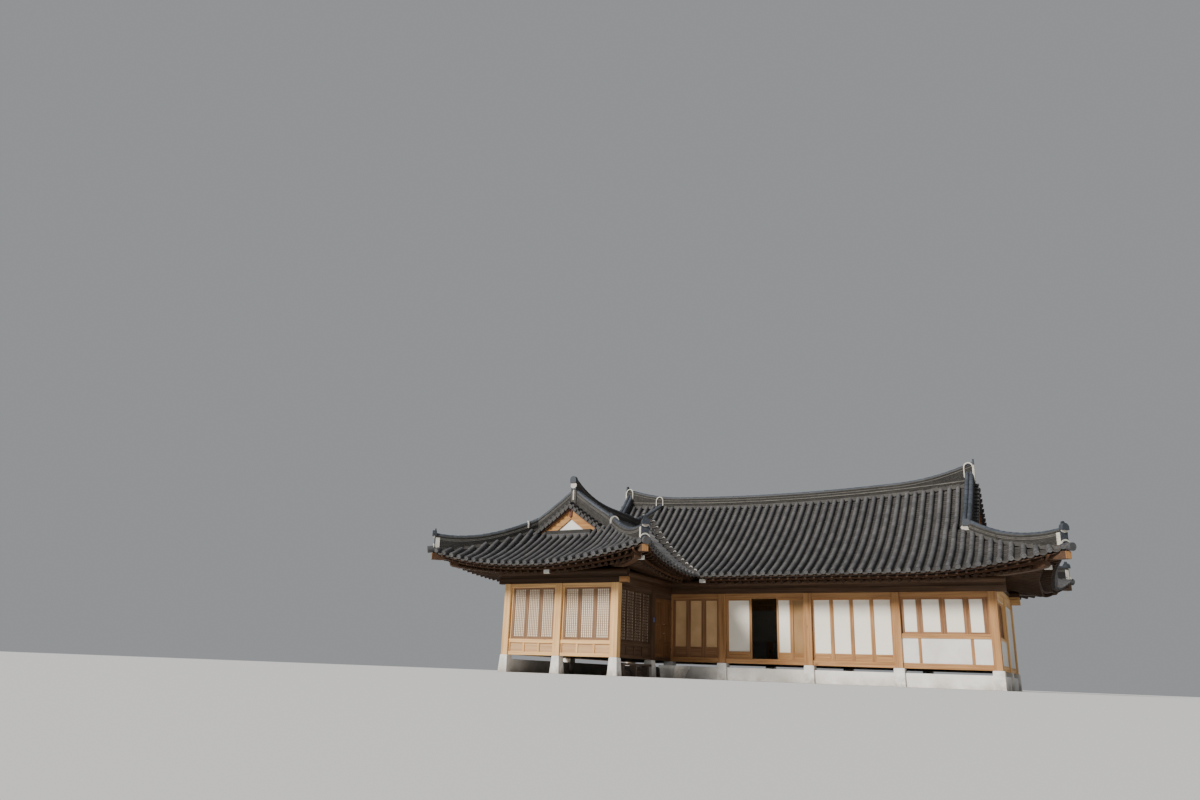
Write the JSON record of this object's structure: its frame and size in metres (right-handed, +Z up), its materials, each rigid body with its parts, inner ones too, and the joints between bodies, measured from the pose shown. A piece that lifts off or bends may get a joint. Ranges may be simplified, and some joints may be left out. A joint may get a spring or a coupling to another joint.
{
  "type": "traditional L-shaped house with a tiled hip-and-gable roof",
  "caption": "Single-storey timber house on stone feet, L-shaped, with papered lattice doors and windows, a hinged entrance and an upturned tiled hip-and-gable roof.",
  "frame": {"origin": "middle of the whole house's plan, on the ground", "axes": "+X along the main wing to the right, seen from the front; +Y to the back; +Z up"},
  "size_m": [19.9498, 14.0698, 7.8812],
  "materials": {
    "roof_tile": "matte",
    "sunlit_timber": "satin",
    "dark_timber": "satin",
    "window_paper": "matte",
    "lime_plaster": "matte",
    "granite": "matte",
    "steel": "satin"
  },
  "bodies": {
    "house": {"plinth_front_left": "granite", "plinth_front_middle": "granite", "plinth_front_right": "granite", "plinth_courtyard": "granite", "foundation_front": "lime_plaster", "foundation_back": "lime_plaster", "floor": "sunlit_timber", "entrance_step": "granite", "courtyard_bench": "sunlit_timber", "wing_front_frame": "sunlit_timber", "wing_front_leaves_1": "window_paper", "wing_front_leaves_2": "window_paper", "courtyard_frame": "dark_timber", "courtyard_leaves": "dark_timber", "courtyard_beam": "dark_timber", "entrance_sill": "dark_timber", "entrance_head": "dark_timber", "bay_a_frame": "sunlit_timber", "bay_a_leaves": "window_paper", "bay_b_sill": "sunlit_timber", "bay_b_head": "sunlit_timber", "bay_b_left_leaf": "window_paper", "bay_b_right_leaves": "window_paper", "bays_cd_frame": "sunlit_timber", "bay_c_leaves": "window_paper", "bay_d_window": "window_paper", "main_front_beam": "dark_timber", "right_wall": "lime_plaster", "right_window_screen": "window_paper", "back_wall": "lime_plaster", "back_window_screen": "window_paper", "left_wall": "lime_plaster", "left_window_screen": "window_paper", "roof_main_front": "roof_tile", "roof_main_back": "roof_tile", "roof_right_side": "roof_tile", "roof_left_side": "roof_tile", "roof_wing_front": "roof_tile", "roof_wing_left": "roof_tile", "roof_wing_courtyard": "roof_tile", "main_ridge": "roof_tile", "wing_ridge": "roof_tile", "front_verge_and_hips": "roof_tile", "right_verge_and_hips": "roof_tile", "left_verge_and_hips": "roof_tile", "front_gable": "sunlit_timber", "right_gable": "sunlit_timber", "left_gable": "sunlit_timber", "front_left_corner_rafter": "dark_timber", "front_right_corner_rafter": "dark_timber", "right_front_corner_rafter": "dark_timber", "right_back_corner_rafter": "dark_timber", "left_back_corner_rafter": "dark_timber"},
    "entrance_leaf_left": {"entrance_door_left": "dark_timber"},
    "entrance_leaf_right": {"entrance_door_right": "dark_timber", "entrance_door_pull": "steel"}
  },
  "joints": [
    {"name": "entrance_left_hinge", "type": "hinge", "parent": "house", "child": "entrance_leaf_left", "pos_m": [-3.335, -2.075, 1.7], "axis": [0, 0, -1], "range_deg": [0, 90]},
    {"name": "entrance_right_hinge", "type": "hinge", "parent": "house", "child": "entrance_leaf_right", "pos_m": [-3.335, -0.635, 1.7], "axis": [0, 0, 1], "range_deg": [0, 90]}
  ]
}
